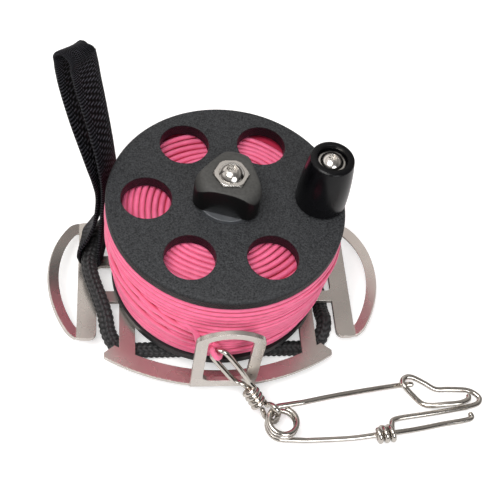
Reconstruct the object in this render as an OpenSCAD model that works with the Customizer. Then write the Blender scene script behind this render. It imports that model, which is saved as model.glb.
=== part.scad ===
// Belt reel for a diver's float line: a line spool turning on a bent steel
// plate, clamped by a three-lobed drag knob, with a clip on the line's end.
// Origin: the spool's axis at the plate's underside. +Z is up the axis, the
// line guide stands at -Y, and the belt slots lie left and right.

/* [Plate] */
// Thickness of the steel sheet
plate_t = 2; // [1.5:0.5:2.5]
// Distance from the spool's axis to the bend at each belt slot
bend_x = 62.5; // [61.5:0.5:66]
// Flat width of a wing outside its bend
wing_depth = 13.3; // [13:0.1:15.5]
// Half of a wing's length
wing_half = 30.8; // [30.5:0.1:34]
// Distance of the wings' middle behind the axis
wing_y = -3.3; // [-5:0.1:0]
// Angle by which a wing is bent up
wing_angle = 23; // [0:1:35]
// Width of the band outside a belt slot
band_w = 4.6; // [3.5:0.1:5]
// Width of the bar inside a belt slot
bar_w = 8.5; // [7:0.5:9]
// Distance from the axis to the front of the bow
bow_front = 57.4; // [57:0.1:60]
// Width of the bow
bow_w = 7.2; // [6:0.1:9]

/* [Line guide] */
// Width of the guide
guide_w = 28; // [26:1:32]
// Height of the guide above the plate's underside
guide_h = 49; // [44:0.5:50]
// Radius of the guide's arched top
arch_r = 19; // [18:0.5:24]
// Width of the guide's window
window_w = 18.4; // [16:0.2:20]
// Height of the bar below the window
sill_h = 5.8; // [3:0.1:6]
// Height of the bar over the window
lintel_h = 3.7; // [3:0.1:5]

/* [Spool] */
// Diameter of the top flange
flange_d = 100; // [98:1:106]
// Thickness of the top flange
flange_t = 5.5; // [5.5:0.5:9]
// Diameter of the bottom flange
bottom_d = 95; // [94:1:96]
// Thickness of the bottom flange
bottom_t = 3.5; // [3:0.5:5]
// Width between the flanges
spool_w = 47; // [42:1:52]
// Diameter of the finger holes in the top flange
hole_d = 21; // [16:0.1:22]
// Diameter of the circle that the finger holes lie on
hole_pcd = 66.5; // [64:0.5:68]
// Diameter of the hub
hub_d = 34; // [33:1:38]
// Thickness of the washer that the spool turns on
thrust_t = 1.5; // [1:0.25:3]

/* [Line] */
// Diameter of the line
line_d = 2.5; // [2:0.1:2.5]
// Number of turns in the outer layer
line_turns = 14; // [10:1:14]
// Radius of the outer layer's middle
line_r = 45.3; // [44:0.1:45.5]

/* [Drag knob] */
// Radius over the knob's lobes
knob_r = 15; // [14:0.1:17]
// Radius of each lobe's end
lobe_r = 5.5; // [4:0.5:6.5]
// Height of the knob
knob_h = 14; // [11:0.5:15]
// Diameter of the pressure washer below the knob
pressure_d = 26; // [24:1:30]
// Thickness of the pressure washer
pressure_t = 2; // [1.5:0.5:3]
// Thread diameter of the drag screw
drag_d = 6; // [6:1:6]
// Length of the drag screw under its head
drag_len = 50; // [40:5:50]
// Width across the flats of the hexagon nut in the knob
nut_af = 13; // [12:0.5:14]

/* [Crank handle] */
// Distance of the handle's axis from the flange's rim
handle_in = 10.8; // [10.8:0.1:14]
// Largest diameter of the grip
grip_d = 21.6; // [18:0.2:21.6]
// Height of the grip
grip_h = 27.5; // [24:0.5:32]
// Outer diameter of the sleeve that the grip turns on
sleeve_d = 8; // [7.5:0.5:9]
// Thread diameter of the handle screw
handle_d = 5; // [5:1:5]

/* [Cord, strap and clip] */
// Diameter of the lashing cord
cord_d = 7; // [6:0.5:7]
// Width of the strap's webbing
strap_w = 15; // [12:1:15]
// Thickness of the webbing
strap_t = 1.8; // [1.2:0.2:1.8]
// Diameter of the clip's spring wire
wire_d = 2.4; // [2:0.1:2.4]
// Diameter of the eye's wire
eye_d = 1.8; // [1.6:0.1:1.8]
// Radius of the clip's coil at the middle of its wire
coil_r = 6.2; // [6:0.1:7]

/* [Hidden] */
$fn = 64;

// Clearances
run = 0.05;             // radial clearance of a running fit
press = 0.01;           // radial clearance of a pressed fit
rest_gap = 0.3;         // space left beside a soft or wound piece
past = 1;               // how far a cutting shape passes a face

// Heights along the spool's axis
thrust_z = plate_t;
bottom_z = thrust_z + thrust_t + run;
deck_z = bottom_z + bottom_t;
flange_z = deck_z + spool_w;
top_z = flange_z + flange_t;
pressure_z = top_z + 2 * run;
knob_z = pressure_z + pressure_t + run;

// Spindle and bushes
spindle_r = 6;
spindle_foot_r = 4;
spindle_top = top_z - 0.5;
thread_depth = spindle_top - 22;
bush_r = 8;
bush_len = 15;
bush_rim_r = 10;
bush_rim_t = 1.5;
screw_circle = 13.5;    // radius of the circle of flange screws
flange_screws_n = 3;
flange_screw_r = 1.5;
flange_screw_head_r = 2.8;
flange_screw_len = 14;

// Plate details
wing_arc_r = 46;
wing_corner_r = 10;
bar_corner_r = 3;
bend_in = 1;            // inside radius of every bend
arm_in = 37;
arm_out = 44;
bow_r = 96.4;
tip_x = 50.5;
tip_y = -41;
notch_r = 5;
notch_y = -33.5;
beam_front = -15.5;
beam_back = 8.9;
bridge_w = 5.5;
lash_hole_r = 2;
centre_r = 30;
guide_corner_r = 5;
window_top_r = 2.5;
window_foot_r = 4;

// Heights and fastenings of the knob
nut_t = 6;
nut_stand = 1;
button_h6 = 3.3;
button_r6 = 5.25;
socket_af6 = 4;
button_h5 = 2.75;
button_r5 = 4.75;
socket_af5 = 3;
flat_turn = 74;         // direction of the knob's rear lobe

// Handle
handle_x = flange_d / 2 - handle_in;
seat_drop = 2.9;        // from the grip's top down to the washer
sleeve_len = grip_h - seat_drop;
washer_t = 1;
washer_r = 5.5;
grip_recess_r = 6.25;
screw_short = 1.1;      // from the flange's underside up to the screw's end
handle_screw_len = sleeve_len + washer_t + flange_t - screw_short;
handle_nut_af = 8;
handle_nut_t = 4.75;
grip_arc_r = 150;
grip_widest = 3;

// Ground that the reel lies on
ground_z = -rest_gap - cord_d + cord_d / 10;

// ---- functions ----
function unit(v) = v / norm(v);
function arc(c, r, a0, a1, n) =
    [for (i = [0:n]) c + r * [cos(a0 + (a1 - a0) * i / n), sin(a0 + (a1 - a0) * i / n)]];

// A smooth run through hand-set points, with n steps between two of them
function blend3(a, b, c, d, t) =
    0.5 * (2 * b + (c - a) * t + (2 * a - 5 * b + 4 * c - d) * t * t + (3 * b - a - 3 * c + d) * t * t * t);
function smooth_open(p, n) = let (m = len(p) - 1)
    [for (i = [0:m - 1], k = [0:n - 1])
        blend3(p[max(i - 1, 0)], p[i], p[i + 1], p[min(i + 2, m)], k / n), p[m]];
function smooth_ring(p, n) = let (m = len(p))
    [for (i = [0:m - 1], k = [0:n - 1])
        blend3(p[(i + m - 1) % m], p[i], p[(i + 1) % m], p[(i + 2) % m], k / n)];

// The cross-section of a round tube at one point of its path
function tube_ring(c, t, up, d, n) = let (side = unit(cross(t, up)), top = cross(side, t))
    [for (k = [0:n - 1]) c + d / 2 * (cos(360 * k / n) * side + sin(360 * k / n) * top)];
function path_dir(p, i, closed) = let (m = len(p))
    closed ? unit(p[(i + 1) % m] - p[(i + m - 1) % m]) : unit(p[min(i + 1, m - 1)] - p[max(i - 1, 0)]);
function side_faces(m, n, rows) =
    [for (i = [0:rows - 1], k = [0:n - 1], h = [0, 1]) let (
        a = i * n + k, b = i * n + (k + 1) % n,
        c = (i + 1) % m * n + (k + 1) % n, d = (i + 1) % m * n + k)
        h == 0 ? [a, b, d] : [b, c, d]];
function cap_faces(first, n, flip) =
    [for (k = [1:n - 2]) flip ? [first, first + k, first + k + 1] : [first, first + k + 1, first + k]];

// Least distance of a tube from itself, taken between points of its path that
// lie at least skip rings apart
function between(p, n) = [for (i = [0:len(p) - 2], k = [0:n - 1]) p[i] + (p[i + 1] - p[i]) * k / n];
function least_gap(p, skip, d) = let (q = between(p, 4), m = len(q), s = 4 * skip)
    min([for (i = [0:m - 1 - s], k = [i + s:m - 1]) norm(q[i] - q[k])]) - d;

// ---- shared shapes ----
module tube(p, d, n = 8, up = [0, 0, 1], closed = false) {
    m = len(p);
    rings = [for (i = [0:m - 1]) each tube_ring(p[i], path_dir(p, i, closed), up, d, n)];
    skin = side_faces(m, n, closed ? m : m - 1);
    ends = closed ? [] : concat(cap_faces(0, n, false), cap_faces((m - 1) * n, n, true));
    polyhedron(rings, concat(skin, ends), convexity = 10);
}

module ring(r_out, r_in, h) {
    difference() {
        cylinder(r = r_out, h = h);
        translate([0, 0, -past]) cylinder(r = r_in, h = h + 2 * past);
    }
}

module hexagon(af, h) {
    cylinder(d = af / cos(30), h = h, $fn = 6);
}

// A round-headed socket screw, its head's seat at z = 0 and its shank below
module button_screw(head_r, head_h, shank_r, len, socket_af) {
    dome_r = (head_r * head_r + head_h * head_h) / (2 * head_h);
    difference() {
        union() {
            intersection() {
                translate([0, 0, head_h - dome_r]) sphere(r = dome_r);
                cylinder(r = head_r, h = head_h);
            }
            translate([0, 0, -len]) cylinder(r = shank_r, h = len + head_h / 2);
        }
        translate([0, 0, head_h * 0.35]) hexagon(socket_af, head_h);
    }
}

// ---- plate ----
// A wing is drawn from its bend, with x = 0 on the bend line
wing_mid = wing_depth - wing_arc_r;
wing_turn = asin((wing_half - wing_corner_r) / (wing_arc_r - wing_corner_r));
corner_x = wing_mid + (wing_arc_r - wing_corner_r) * cos(wing_turn);
corner_y = wing_half - wing_corner_r;
bar_x = bend_x - bar_w;

module wing_outline() {
    polygon(concat(
        arc([wing_mid, 0], wing_arc_r, -wing_turn, wing_turn, 16),
        arc([corner_x, corner_y], wing_corner_r, wing_turn, 90, 6),
        arc([bar_corner_r - bar_w, wing_half - bar_corner_r], bar_corner_r, 90, 180, 4),
        arc([bar_corner_r - bar_w, bar_corner_r - wing_half], bar_corner_r, 180, 270, 4),
        arc([corner_x, -corner_y], wing_corner_r, -90, -wing_turn, 6)));
}

slot_r = wing_corner_r - band_w;

// The wing's outline carried inwards by the band's width; it runs on past the bend
module slot_outline() {
    polygon(concat(
        arc([wing_mid, 0], wing_arc_r - band_w, -wing_turn, wing_turn, 16),
        arc([corner_x, corner_y], slot_r, wing_turn, 90, 6),
        [[-bar_w, corner_y + slot_r], [-bar_w, -corner_y - slot_r]],
        arc([corner_x, -corner_y], slot_r, -90, -wing_turn, 6)));
}

// Half the length of the outline, carried inwards by inset, on the bend line
function bend_half(inset) = let (r = wing_corner_r - inset)
    corner_x >= 0 ? wing_half - inset :
    -corner_x < r * cos(wing_turn) ? corner_y + sqrt(r * r - corner_x * corner_x) :
    sqrt(pow(wing_arc_r - inset, 2) - wing_mid * wing_mid);
slot_half = bend_half(band_w);

// The band's ends at the bend, a hair narrower than the band
band_end = bend_half(0) - slot_half;
bend_w = band_end - 0.1;

module half_plane(x0, x1) {
    translate([x0, -wing_arc_r]) square([x1 - x0, 2 * wing_arc_r]);
}

module wing() {
    translate([bend_x, 0, 0]) linear_extrude(plate_t) intersection() {
        wing_outline();
        half_plane(-bar_w - past, 0);
    }
    for (side = [-1, 1])
        translate([bend_x, side * (slot_half + band_end / 2) + bend_w / 2, plate_t + bend_in])
            rotate([90, 0, 0]) rotate([0, 0, -90])
                rotate_extrude(angle = wing_angle)
                    translate([bend_in, 0]) square([plate_t, bend_w]);
    translate([bend_x, 0, plate_t + bend_in]) rotate([0, -wing_angle, 0])
        translate([0, 0, -plate_t - bend_in])
            linear_extrude(plate_t) intersection() {
                difference() {
                    wing_outline();
                    slot_outline();
                }
                half_plane(0, wing_depth + past);
            }
}

module bow_mask() {
    half = concat([[tip_x, -flange_d], [tip_x, tip_y]],
        arc([arm_out + notch_r, notch_y], notch_r, 240, 180, 6), [[arm_out, beam_front]]);
    other = [for (i = [len(half) - 1:-1:0]) [-half[i][0], half[i][1]]];
    polygon(concat(half, other));
}

module plate_flat() {
    bow_mid = bow_r - bow_front;
    arm_y = -bow_front + 12;    // inside the bow, where the arms begin
    difference() {
        union() {
            intersection() {
                bow_mask();
                difference() {
                    translate([0, bow_mid]) circle(r = bow_r, $fn = 360);
                    translate([0, bow_mid]) circle(r = bow_r - bow_w, $fn = 360);
                    translate([-guide_w / 2, -bow_front - past])
                        square([guide_w, past + plate_t + bend_in - guide_face + bow_front]);
                }
            }
            for (side = [-1, 1])
                translate([side * (arm_in + arm_out) / 2 - (arm_out - arm_in) / 2, arm_y])
                    square([arm_out - arm_in, -arm_y]);
            translate([-bar_x - past, beam_front]) square([2 * (bar_x + past), beam_back - beam_front]);
            circle(r = centre_r);
        }
        for (side = [-1, 1])
            translate([side * (arm_out + past + bar_x) / 2, (beam_front + beam_back) / 2])
                lash_hole(bar_x - arm_out - past, beam_back - beam_front - 2 * bridge_w);
        circle(r = spindle_foot_r + press);
    }
}

module lash_hole(w, l) {
    translate([-w / 2 + lash_hole_r, -l / 2]) square([w - 2 * lash_hole_r, l]);
    translate([-w / 2, -l / 2 + lash_hole_r]) square([w, l - 2 * lash_hole_r]);
    for (x = [-1, 1], y = [-1, 1])
        translate([x * (w / 2 - lash_hole_r), y * (l / 2 - lash_hole_r)]) circle(r = lash_hole_r);
}

// Side profile of the guide: foot, bend and upright
guide_face = bow_front + 0.6;
bend_out = bend_in + plate_t;

module guide_profile() {
    front = -guide_face;
    translate([front + bend_out, 0]) square([bow_w - bend_out, plate_t]);
    translate([front, bend_out]) square([plate_t, guide_h - bend_out]);
    intersection() {
        translate([front + bend_out, bend_out]) difference() {
            circle(r = bend_out);
            circle(r = bend_in);
        }
        translate([front, 0]) square(bend_out);
    }
}

// An arch over a straight-sided opening or sheet, its top corners rounded by
// corner, its crown at height top and its foot at height low
module arch(half_w, low, top, r, corner, foot) {
    mid = top - r;
    turn = acos((half_w - corner) / (r - corner));
    c = [(r - corner) * cos(turn), mid + (r - corner) * sin(turn)];
    polygon(concat(
        arc(c, corner, 0, turn, 6),
        arc([0, mid], r, turn, 180 - turn, 24),
        arc([-c[0], c[1]], corner, 180 - turn, 180, 6),
        arc([foot - half_w, low + foot], foot, 180, 270, 6),
        arc([half_w - foot, low + foot], foot, 270, 360, 6)));
}

window_low = plate_t + sill_h;

module guide_elevation() {
    difference() {
        arch(guide_w / 2, -past, guide_h, arch_r, guide_corner_r, past / 2);
        arch(window_w / 2, window_low, guide_h - lintel_h, arch_r - lintel_h, window_top_r, window_foot_r);
    }
}

module guide() {
    intersection() {
        rotate([90, 0, 90]) translate([0, 0, -guide_w / 2]) linear_extrude(guide_w) guide_profile();
        translate([0, bow_w - guide_face, 0]) rotate([90, 0, 0]) linear_extrude(bow_w + past) guide_elevation();
    }
}

module frame_plate() {
    color("silver") {
        linear_extrude(plate_t) plate_flat();
        for (m = [0, 1]) mirror([m, 0, 0]) translate([0, wing_y, 0]) wing();
        guide();
    }
}

// ---- spindle and spool ----
module spindle() {
    color("gainsboro") difference() {
        union() {
            cylinder(r = spindle_foot_r, h = plate_t);
            translate([0, 0, plate_t]) cylinder(r = spindle_r, h = spindle_top - plate_t);
        }
        translate([0, 0, spindle_top - thread_depth]) cylinder(r = drag_d / 2 + run, h = thread_depth + past);
    }
}

module thrust_washer() {
    color("white") translate([0, 0, thrust_z]) ring(bush_rim_r + 5, spindle_r + run, thrust_t);
}

module finger_holes(h) {
    for (i = [1:5]) rotate([0, 0, 60 * i]) translate([hole_pcd / 2, 0, 0]) cylinder(d = hole_d, h = h);
}

module screw_places() {
    for (i = [0:flange_screws_n - 1])
        rotate([0, 0, 360 / flange_screws_n * i + 30]) translate([screw_circle, 0, 0]) children();
}

module top_flange_shape() {
    foot = 0.8;
    shoulder = 1.6;
    rotate_extrude($fn = 180) polygon(concat(
        [[0, flange_z], [flange_d / 2 - foot, flange_z], [flange_d / 2, flange_z + foot]],
        arc([flange_d / 2 - shoulder, top_z - shoulder], shoulder, 0, 90, 4), [[0, top_z]]));
}

module spool_body() {
    color("dimgray") difference() {
        union() {
            top_flange_shape();
            translate([0, 0, deck_z]) cylinder(d = hub_d, h = spool_w + flange_t / 2);
        }
        translate([0, 0, deck_z - past]) cylinder(r = bush_r, h = top_z - deck_z + 2 * past);
        translate([0, 0, top_z - bush_rim_t]) cylinder(r = bush_rim_r, h = bush_rim_t + past);
        translate([0, 0, flange_z - past]) finger_holes(flange_t + 2 * past);
        translate([handle_x, 0, flange_z - past]) {
            cylinder(r = handle_d / 2 + run, h = flange_t + 2 * past);
            hexagon(handle_nut_af + 2 * run, handle_nut_t + past);
        }
        screw_places() translate([0, 0, deck_z - past])
            cylinder(r = flange_screw_r, h = flange_screw_len - bottom_t + past);
    }
}

module bottom_flange() {
    color("black") difference() {
        translate([0, 0, bottom_z]) cylinder(d = bottom_d, h = bottom_t, $fn = 180);
        translate([0, 0, bottom_z - past]) cylinder(r = bush_r, h = bottom_t + 2 * past);
        translate([0, 0, bottom_z - past]) cylinder(r = bush_rim_r, h = bush_rim_t + past);
        screw_places() translate([0, 0, bottom_z - past])
            cylinder(r = flange_screw_r, h = bottom_t + 2 * past);
        screw_places() translate([0, 0, bottom_z])
            cylinder(r1 = flange_screw_head_r, r2 = flange_screw_r, h = flange_screw_head_r - flange_screw_r);
    }
}

module flange_screws() {
    sink = flange_screw_head_r - flange_screw_r;
    color("silver") screw_places() translate([0, 0, bottom_z]) difference() {
        union() {
            cylinder(r1 = flange_screw_head_r, r2 = flange_screw_r, h = sink);
            cylinder(r = flange_screw_r, h = flange_screw_len);
        }
        translate([0, 0, -past]) hexagon(2, past + 1);
    }
}

module bush(z, flip) {
    translate([0, 0, z]) mirror([0, 0, flip]) difference() {
        union() {
            cylinder(r = bush_r, h = bush_len);
            cylinder(r = bush_rim_r, h = bush_rim_t);
        }
        translate([0, 0, -past]) cylinder(r = spindle_r + run, h = bush_len + 2 * past);
    }
}

module lower_bush() {
    color("ivory") bush(bottom_z, 0);
}

module upper_bush() {
    color("ivory") bush(top_z, 1);
}

// ---- line ----
wind_low = deck_z + rest_gap + line_d / 2;
wind_rise = spool_w - 2 * rest_gap - line_d;
turn_rings = 24;

function wind_point(i) = let (a = -90 - 360 * i / turn_rings)
    [line_r * cos(a), line_r * sin(a), wind_low + wind_rise * i / (turn_rings * line_turns)];
function wind_end(i, sign) = let (a = -90 - 360 * i / turn_rings)
    wind_point(i) + sign * line_d * [sin(a), -cos(a), 0];
wind_path = concat([wind_end(0, -1)],
    [for (i = [0:turn_rings * line_turns]) wind_point(i)],
    [wind_end(turn_rings * line_turns, 1)]);

// Least distance between points a good half turn apart, less the line's width
wind_gap = min([for (i = [0:turn_rings], k = [turn_rings / 2:turn_rings * 3 / 2])
    norm(wind_point(i) - wind_point(i + k))]) - line_d;
echo(least_gap_of_winding = wind_gap);

module line_winding() {
    color("hotpink") tube(wind_path, line_d, 6);
}

core_r = line_r * cos(180 / turn_rings) - line_d / 2 - 0.1;
core_drop = 2;

module line_core() {
    color("deeppink") translate([0, 0, deck_z])
        difference() {
            cylinder(r = core_r, h = spool_w - core_drop);
            translate([0, 0, -past]) cylinder(r = hub_d / 2 + rest_gap, h = spool_w + past);
        }
}

// ---- crank handle ----
module at_handle(z) {
    translate([handle_x, 0, z]) children();
}

module handle_grip() {
    recess = grip_h - sleeve_len + rest_gap;
    color("black") at_handle(top_z + rest_gap) difference() {
        rotate_extrude() intersection() {
            translate([grip_d / 2 - grip_arc_r, grip_widest]) circle(r = grip_arc_r, $fn = 720);
            polygon(concat([[0, 0], [grip_d / 2 - 1, 0], [grip_d / 2, 1], [grip_d / 2, grip_h - 4]],
                arc([grip_d / 2 - 3.4, grip_h - 2], 2, 0, 90, 5), [[0, grip_h]]));
        }
        translate([0, 0, -past]) cylinder(r = sleeve_d / 2 + run, h = grip_h + 2 * past);
        translate([0, 0, grip_h - recess - rest_gap]) cylinder(r = grip_recess_r, h = recess + past);
    }
}

module handle_sleeve() {
    color("silver") at_handle(top_z) ring(sleeve_d / 2, handle_d / 2 + run, sleeve_len);
}

module handle_washer() {
    color("silver") at_handle(top_z + sleeve_len) ring(washer_r, handle_d / 2 + run, washer_t);
}

module handle_screw() {
    color("silver") at_handle(top_z + sleeve_len + washer_t)
        button_screw(button_r5, button_h5, handle_d / 2, handle_screw_len, socket_af5);
}

module handle_nut() {
    color("silver") at_handle(flange_z) difference() {
        hexagon(handle_nut_af, handle_nut_t);
        translate([0, 0, -past]) cylinder(r = handle_d / 2 + run, h = handle_nut_t + 2 * past);
    }
}

// ---- drag knob ----
module pressure_washer() {
    color("black") translate([0, 0, pressure_z]) ring(pressure_d / 2, drag_d / 2 + 0.2, pressure_t);
}

lobe_x = knob_r - lobe_r;
knob_top_r = 9;
knob_round = knob_r - knob_top_r;

module knob_outline() {
    polygon([for (i = [0:2]) each arc(
        lobe_x * [cos(flat_turn + 120 * i), sin(flat_turn + 120 * i)], lobe_r,
        flat_turn + 120 * i - 60, flat_turn + 120 * i + 60, 10)]);
}

module knob_dome() {
    rotate_extrude() intersection() {
        union() {
            square([knob_r + past, knob_h - knob_round]);
            square([knob_top_r, knob_h]);
            translate([knob_top_r, knob_h - knob_round]) circle(r = knob_round);
        }
        square([knob_r + past, knob_h]);
    }
}

nut_z = knob_z + knob_h + nut_stand - nut_t;

module drag_knob() {
    color("black") difference() {
        translate([0, 0, knob_z]) intersection() {
            linear_extrude(knob_h) knob_outline();
            knob_dome();
        }
        translate([0, 0, knob_z - past]) cylinder(r = drag_d / 2 + run, h = knob_h + 2 * past);
        translate([0, 0, nut_z]) hexagon(nut_af + 2 * run, nut_t);
    }
}

module knob_nut() {
    color("silver") translate([0, 0, nut_z]) difference() {
        intersection() {
            hexagon(nut_af, nut_t);
            cylinder(r1 = nut_af / 2 + nut_t, r2 = nut_af / 2 + 0.3, h = nut_t);
        }
        translate([0, 0, -past]) cylinder(r = drag_d / 2 + run, h = nut_t + 2 * past);
    }
}

module drag_screw() {
    color("silver") translate([0, 0, nut_z + nut_t])
        button_screw(button_r6, button_h6, drag_d / 2, drag_len, socket_af6);
}

// ---- lashing cord ----
cord_under = -rest_gap - cord_d / 2;
cord_points = [
    [-54.6, 17, 8.1], [-56, 9.5, 8.1], [-57.4, 2, 8.1], [-56.5, -5, 7.6],
    [-53, -15, 5.8], [-50.3, -22.5, 3], [-48.8, -29, -1.2], [-45.4, -34.4, cord_under],
    [-40, -36.8, cord_under], [-30, -37, cord_under], [-15, -37, cord_under], [0, -37, cord_under],
    [15, -37, cord_under], [30, -37, cord_under], [40, -36.8, cord_under], [45.4, -34.4, cord_under],
    [48.6, -29.5, -1.6], [49.5, -24.5, -0.8], [49.4, -17.5, cord_under], [49, -9, cord_under],
    [48.5, 0, cord_under],
    [46, 12, cord_under], [38, 21, cord_under], [25, 25, cord_under], [12, 26, cord_under],
    [0, 26, cord_under], [-12, 26, cord_under], [-25, 27, cord_under], [-36, 28, cord_under],
    [-45.5, 27.5, -0.5], [-51.5, 23, 5.8]];
far = 200;                  // longer than the reel

module lashing_cord() {
    color("#1c1c1c") intersection() {
        tube(smooth_ring(cord_points, 2), cord_d, 10, closed = true);
        translate([-far / 2, -far / 2, ground_z]) cube(far);
    }
}

// ---- wrist strap ----
// The middle line between the strap's two legs, from the cord to the top
rim = flange_d / 2;
strap_points = [
    [-56, 9.5, 8.1], [-56, 10.2, 13], [-rim - 1.8, 16, 24], [-rim + 0.2, 20.5, 40],
    [-rim - 2, 21.5, 58], [-rim - 6, 23.5, 80], [-rim - 9.3, 25, 100], [-rim - 10.5, 25, 111.5]];
strap_run = smooth_open(strap_points, 2);
strap_rows = len(strap_run) - 1;
strap_leg = 4;              // half the distance between the legs at the top
strap_pinch = 1.3;          // and where they lie together
foot_gap = 0.4;
strap_foot = cord_d / 2 + foot_gap + strap_t / 2;
foot_turn = 10.6;           // direction of the webbing's width at the cord
leg_turn = 27;              // and above it
bend_rings = 8;

function ease(t) = (1 - cos(180 * min(max(t, 0), 1))) / 2;
function strap_turn(i) = foot_turn + (leg_turn - foot_turn) * ease((i - 1) / 5);
function strap_across(i) = [cos(strap_turn(i)), -sin(strap_turn(i)), 0];
function strap_half(i) = strap_foot + (strap_pinch - strap_foot) * ease((i - 1) / 4)
    + (strap_leg - strap_pinch) * ease((i - 6) / (strap_rows - 6));
function strap_side(i, side) = [strap_run[i] + side * strap_half(i) * strap_across(i), strap_turn(i)];
strap_path = concat(
    [for (i = [0:strap_rows]) strap_side(i, 1)],
    [for (k = [1:bend_rings - 1]) [strap_run[strap_rows] + strap_leg *
        (cos(180 * k / bend_rings) * strap_across(strap_rows) + sin(180 * k / bend_rings) * [0, 0, 1]), leg_turn]],
    [for (i = [strap_rows:-1:0]) strap_side(i, -1)],
    [for (k = [1:bend_rings - 1]) [strap_run[0] - strap_foot *
        (cos(180 * k / bend_rings) * strap_across(0) + sin(180 * k / bend_rings) * [0, 0, 1]), foot_turn]]);
strap_line = [for (p = strap_path) p[0]];

function strap_ring(i) = let (
        width = [sin(strap_path[i][1]), cos(strap_path[i][1]), 0],
        across = unit(cross(path_dir(strap_line, i, true), width)) * strap_t / 2,
        along = width * strap_w / 2)
    [strap_line[i] + across + along, strap_line[i] - across + along,
     strap_line[i] - across - along, strap_line[i] + across - along];

module wrist_strap() {
    m = len(strap_path);
    color("#202024") polyhedron([for (i = [0:m - 1]) each strap_ring(i)], side_faces(m, 4, m), convexity = 6);
}

// ---- line lead: from the winding round the top of the eye ----
lead_points = [
    [-19.5, -44.1, 37.5], [-15.8, -46.9, 35.9], [-13.2, -49, 33.6], [-12.2, -50.4, 30.4],
    [-10.4, -51.4, 28], [-8, -51.5, 28], [-5.9, -51, 27.9], [-4.1, -51.1, 26],
    [-3.1, -52.4, 24.6], [-3, -54.5, 24.4], [-3.9, -56, 25.6], [-5.1, -56.1, 27.3],
    [-6.5, -55, 29.3], [-7.2, -53.9, 31.4]];
lead_path = smooth_open(lead_points, 2);
echo(least_gap_of_lead = least_gap(lead_path, 4, line_d));

module line_lead() {
    color("hotpink") tube(lead_path, line_d, 8);
}

// ---- clip ----
curl_rings = 8;             // rings in one turn of a wound wire
coil_at = [25, -74.6];
coil_pitch = wire_d + 0.55;
coil_low = ground_z + eye_d + rest_gap + 0.1 + wire_d / 2;
lie_z = ground_z + wire_d / 2 + 0.1;

function coil_point(turns) = let (a = -90 - 360 * turns)
    [coil_at[0] + coil_r * cos(a), coil_at[1] + coil_r * sin(a), coil_low + coil_pitch * turns];

keeper_r = wire_d + 0.5;
keeper_z = lie_z + keeper_r;
body_turns = 1.5;
leg_points = [
    [111, -70, lie_z + 1.2], [111.4, -72.6, lie_z], [98, -74.8, lie_z], [86, -77.2, lie_z + 1], [75, -79.3, keeper_z],
    [66, -80.2, keeper_z], [54, -81.2, lie_z + 2.4], [35.5, -81.4, coil_low - 0.2]];
body_path = concat(smooth_open(leg_points, 2),
    [for (i = [0:curl_rings * body_turns]) coil_point(i / curl_rings)]);
echo(least_gap_of_clip_body = least_gap(body_path, curl_rings / 2, wire_d));

module clip_body() {
    color("lightgray") tube(body_path, wire_d, 8);
}

arm_start = body_turns + 0.04;
arm_turns = 0.96;
arm_points = [
    [34.3, -66.8, 3.4], [50.8, -62.8, 1.2], [69.9, -58.7, -1.6], [80, -56, lie_z + 0.4],
    [84.5, -55.3, lie_z], [88.4, -55.3, lie_z]];
arm_path = concat(
    [for (i = [0:curl_rings]) coil_point(arm_start + arm_turns * i / curl_rings)],
    smooth_open(arm_points, 2));
echo(least_gap_of_clip_arm = least_gap(arm_path, curl_rings / 2, wire_d));

module clip_arm() {
    color("lightgray") tube(arm_path, wire_d, 8);
}

// Keeper turns around the lower leg, then the wire's own run to the hook
keeper_at = [70.5, -79.75, keeper_z];
keeper_dir = unit([9, 0.9, 0]);
keeper_turns = 2.5;
keeper_pitch = wire_d + 0.55;
keeper_side = [-keeper_dir[1], keeper_dir[0], 0];
hook_z = lie_z + wire_d + 0.4;
latch_points = [
    [74.9, -73.6, lie_z + 0.4], [78, -71.6, lie_z], [96.5, -69.2, lie_z], [113.8, -66.3, lie_z],
    [117.8, -63.6, lie_z], [116.6, -60.8, lie_z], [112.5, -58.7, lie_z], [104, -58.1, lie_z],
    [98, -57.9, lie_z], [92.6, -55.6, lie_z + 1.8], [87.4, -53.2, hook_z], [84.2, -53, hook_z],
    [82.2, -55, hook_z], [83, -57.6, hook_z], [86, -60.8, lie_z + 1.4], [90.2, -64.6, lie_z],
    [94, -66.2, lie_z + 0.9], [100, -66.3, lie_z + 2.2], [107, -66, lie_z + 2.7], [111.5, -64.2, lie_z + 2.7],
    [111.6, -61.6, lie_z + 2.7]];

function keeper_point(turns) = let (a = 90 + 360 * turns)
    keeper_at + keeper_dir * keeper_pitch * (turns - keeper_turns / 2)
    + keeper_r * (cos(a) * keeper_side + sin(a) * [0, 0, 1]);

latch_path = concat([keeper_point(0) + wire_d * (keeper_side - 0.2 * keeper_dir)],
    [for (i = [0:curl_rings * keeper_turns]) keeper_point(i / curl_rings)],
    smooth_open(latch_points, 2));
echo(least_gap_of_clip_latch = least_gap(latch_path, curl_rings / 2, wire_d));

module clip_latch() {
    color("lightgray") tube(latch_path, wire_d, 8);
}

// ---- eye: a long loop, a barrel of close turns and a bail through the coil ----
eye_top = [-4.6, -53.6, 26.6];
eye_foot = [10.8, -62.1, 7.5];
eye_dir = unit(eye_foot - eye_top);
eye_wide = unit(cross(eye_dir, [0, 1, 0]));
eye_half = 3.2;
barrel_dir = unit([6.5, -6.5, -7.5]);
barrel_up = unit([0, 0, 1] - barrel_dir[2] * barrel_dir);
barrel_side = cross(barrel_dir, barrel_up);
wrap_r = (eye_d + 0.6) / cos(180 / curl_rings);
wrap_pitch = eye_d + 0.55;
wrap_first = -33;           // where the first turn leaves the loop
wrap_turns = 3.85;
barrel_len = wrap_pitch * wrap_turns;

function eye_side(s, w) = eye_top + s * eye_dir + w * eye_wide;
function wrap_point(turns) = let (a = wrap_first + 360 * turns)
    eye_foot + barrel_dir * wrap_pitch * turns + wrap_r * (cos(a) * barrel_up + sin(a) * barrel_side);

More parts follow.
